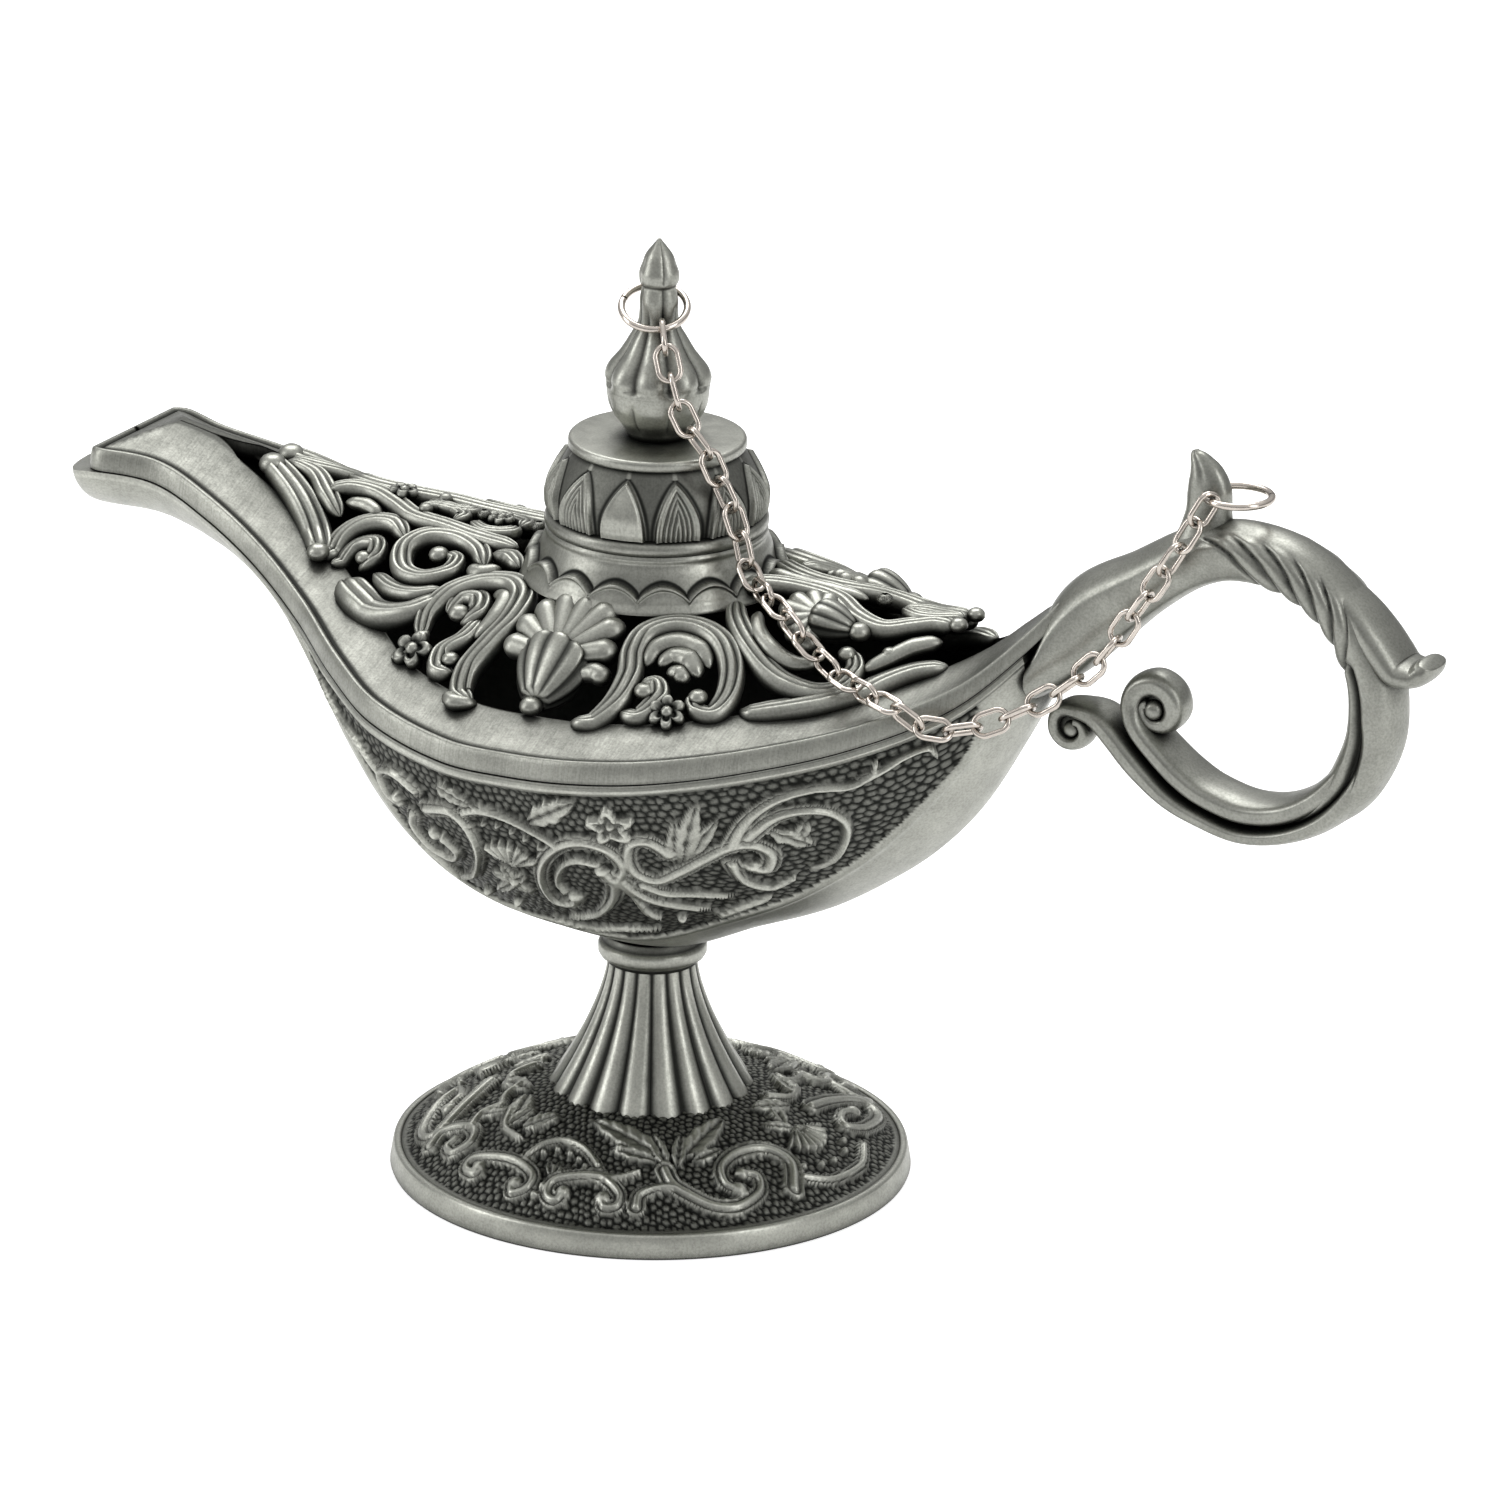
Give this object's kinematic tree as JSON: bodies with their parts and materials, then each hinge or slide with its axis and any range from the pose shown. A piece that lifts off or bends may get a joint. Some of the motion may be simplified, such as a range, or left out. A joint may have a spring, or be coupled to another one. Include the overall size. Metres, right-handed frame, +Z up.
{
  "type": "genie lamp",
  "caption": "Boat-shaped genie oil lamp on a fluted foot, with a lift-off openwork lid, a domed finial, a loop handle and a fine chain from finial to handle.",
  "frame": {"origin": "centre of the foot's flat underside", "axes": "+Z up, the spout points to -X, the handle to +X, the chain hangs on the -Y side"},
  "size_m": [0.1225, 0.0464, 0.0783],
  "materials": {
    "cast_pewter": "antiqued pewter-coloured casting, brushed bright on the high parts, dark in the recesses",
    "screw_steel": "plain steel, satin",
    "chain_nickel": "polished nickel plate"
  },
  "bodies": {
    "lamp": {"foot": "cast_pewter", "foot_washer": "screw_steel", "foot_screw": "screw_steel", "bowl": "cast_pewter", "handle": "cast_pewter"},
    "lid": {"cover": "cast_pewter", "dome_cap": "cast_pewter", "dome_washer": "screw_steel", "dome_screw": "screw_steel", "finial": "cast_pewter"},
    "finial_ring": {"finial_ring": "chain_nickel"},
    "chain_01": {"chain_01": "chain_nickel"},
    "chain_02": {"chain_02": "chain_nickel"},
    "chain_03": {"chain_03": "chain_nickel"},
    "chain_04": {"chain_04": "chain_nickel"},
    "chain_05": {"chain_05": "chain_nickel"},
    "chain_06": {"chain_06": "chain_nickel"},
    "horn_ring": {"horn_ring": "chain_nickel"},
    "chain_11": {"chain_11": "chain_nickel"},
    "chain_10": {"chain_10": "chain_nickel"},
    "chain_09": {"chain_09": "chain_nickel"},
    "chain_08": {"chain_08": "chain_nickel"},
    "chain_07": {"chain_07": "chain_nickel"}
  },
  "joints": [
    {"name": "lid_lift", "type": "slide", "parent": "lamp", "child": "lid", "axis": [0, 0, 1], "range_m": [0, 0.025]},
    {"name": "finial_ring_swing", "type": "hinge", "parent": "lid", "child": "finial_ring", "pos_m": [-0.00015, -0.00044, 0.07269], "axis": [-0.5229, 0.6384, 0.5648], "range_deg": [0, 24.09]},
    {"name": "chain_01_swing", "type": "hinge", "parent": "finial_ring", "child": "chain_01", "pos_m": [0.00144, -0.00183, 0.07184], "axis": [-0.9207, 0.0374, 0.3884], "range_deg": [0, 29.75]},
    {"name": "chain_02_swing", "type": "hinge", "parent": "chain_01", "child": "chain_02", "pos_m": [0.00431, -0.00414, 0.06633], "axis": [0.3251, -0.4837, -0.8127], "range_deg": [0, 19.37]},
    {"name": "chain_03_swing", "type": "hinge", "parent": "chain_02", "child": "chain_03", "pos_m": [0.00803, -0.004, 0.06071], "axis": [0.7412, -0.0388, -0.6701], "range_deg": [0, 31.85]},
    {"name": "chain_04_swing", "type": "hinge", "parent": "chain_03", "child": "chain_04", "pos_m": [0.01077, -0.00438, 0.05447], "axis": [0.8563, 0.1896, -0.4804], "range_deg": [0, 24.33]},
    {"name": "chain_05_swing", "type": "hinge", "parent": "chain_04", "child": "chain_05", "pos_m": [0.01606, -0.00742, 0.05201], "axis": [0.2664, 0.9579, -0.1072], "range_deg": [0, 13.39]},
    {"name": "chain_06_swing", "type": "hinge", "parent": "chain_05", "child": "chain_06", "pos_m": [0.02187, -0.00935, 0.04889], "axis": [0.0165, 0.9846, 0.174], "range_deg": [0, 15.32]},
    {"name": "horn_ring_swing", "type": "hinge", "parent": "lamp", "child": "horn_ring", "pos_m": [0.04923, 0, 0.0663], "axis": [-0.9008, -0.4264, 0.082], "range_deg": [0, 17.49]},
    {"name": "chain_11_swing", "type": "hinge", "parent": "horn_ring", "child": "chain_11", "pos_m": [0.05066, -0.00212, 0.06659], "axis": [-0.418, 0.8791, 0.2288], "range_deg": [0, 24.2]},
    {"name": "chain_10_swing", "type": "hinge", "parent": "chain_11", "child": "chain_10", "pos_m": [0.04792, -0.0045, 0.06074], "axis": [0.0119, 0.8117, 0.584], "range_deg": [0, 22.94]},
    {"name": "chain_09_swing", "type": "hinge", "parent": "chain_10", "child": "chain_09", "pos_m": [0.04446, -0.00543, 0.05486], "axis": [0.8374, 0.5463, 0.0154], "range_deg": [0, 15.49]},
    {"name": "chain_08_swing", "type": "hinge", "parent": "chain_09", "child": "chain_08", "pos_m": [0.03988, -0.00664, 0.04991], "axis": [0.6401, -0.4798, -0.6], "range_deg": [0, 8.35]},
    {"name": "chain_07_swing", "type": "hinge", "parent": "chain_08", "child": "chain_07", "pos_m": [0.03423, -0.00887, 0.04673], "axis": [0.6427, -0.4872, -0.5913], "range_deg": [0, 7.05]}
  ],
  "couplings": [
    {"joint": "finial_ring_swing", "follows": "lid_lift", "rad_per_m": 16.784},
    {"joint": "chain_01_swing", "follows": "lid_lift", "rad_per_m": 20.732},
    {"joint": "chain_02_swing", "follows": "lid_lift", "rad_per_m": 13.486},
    {"joint": "chain_03_swing", "follows": "lid_lift", "rad_per_m": 22.2},
    {"joint": "chain_04_swing", "follows": "lid_lift", "rad_per_m": 16.952},
    {"joint": "chain_05_swing", "follows": "lid_lift", "rad_per_m": 9.3163},
    {"joint": "chain_06_swing", "follows": "lid_lift", "rad_per_m": 10.661},
    {"joint": "horn_ring_swing", "follows": "lid_lift", "rad_per_m": 12.172},
    {"joint": "chain_11_swing", "follows": "lid_lift", "rad_per_m": 16.863},
    {"joint": "chain_10_swing", "follows": "lid_lift", "rad_per_m": 15.978},
    {"joint": "chain_09_swing", "follows": "lid_lift", "rad_per_m": 10.779},
    {"joint": "chain_08_swing", "follows": "lid_lift", "rad_per_m": 5.7924},
    {"joint": "chain_07_swing", "follows": "lid_lift", "rad_per_m": 4.888}
  ]
}
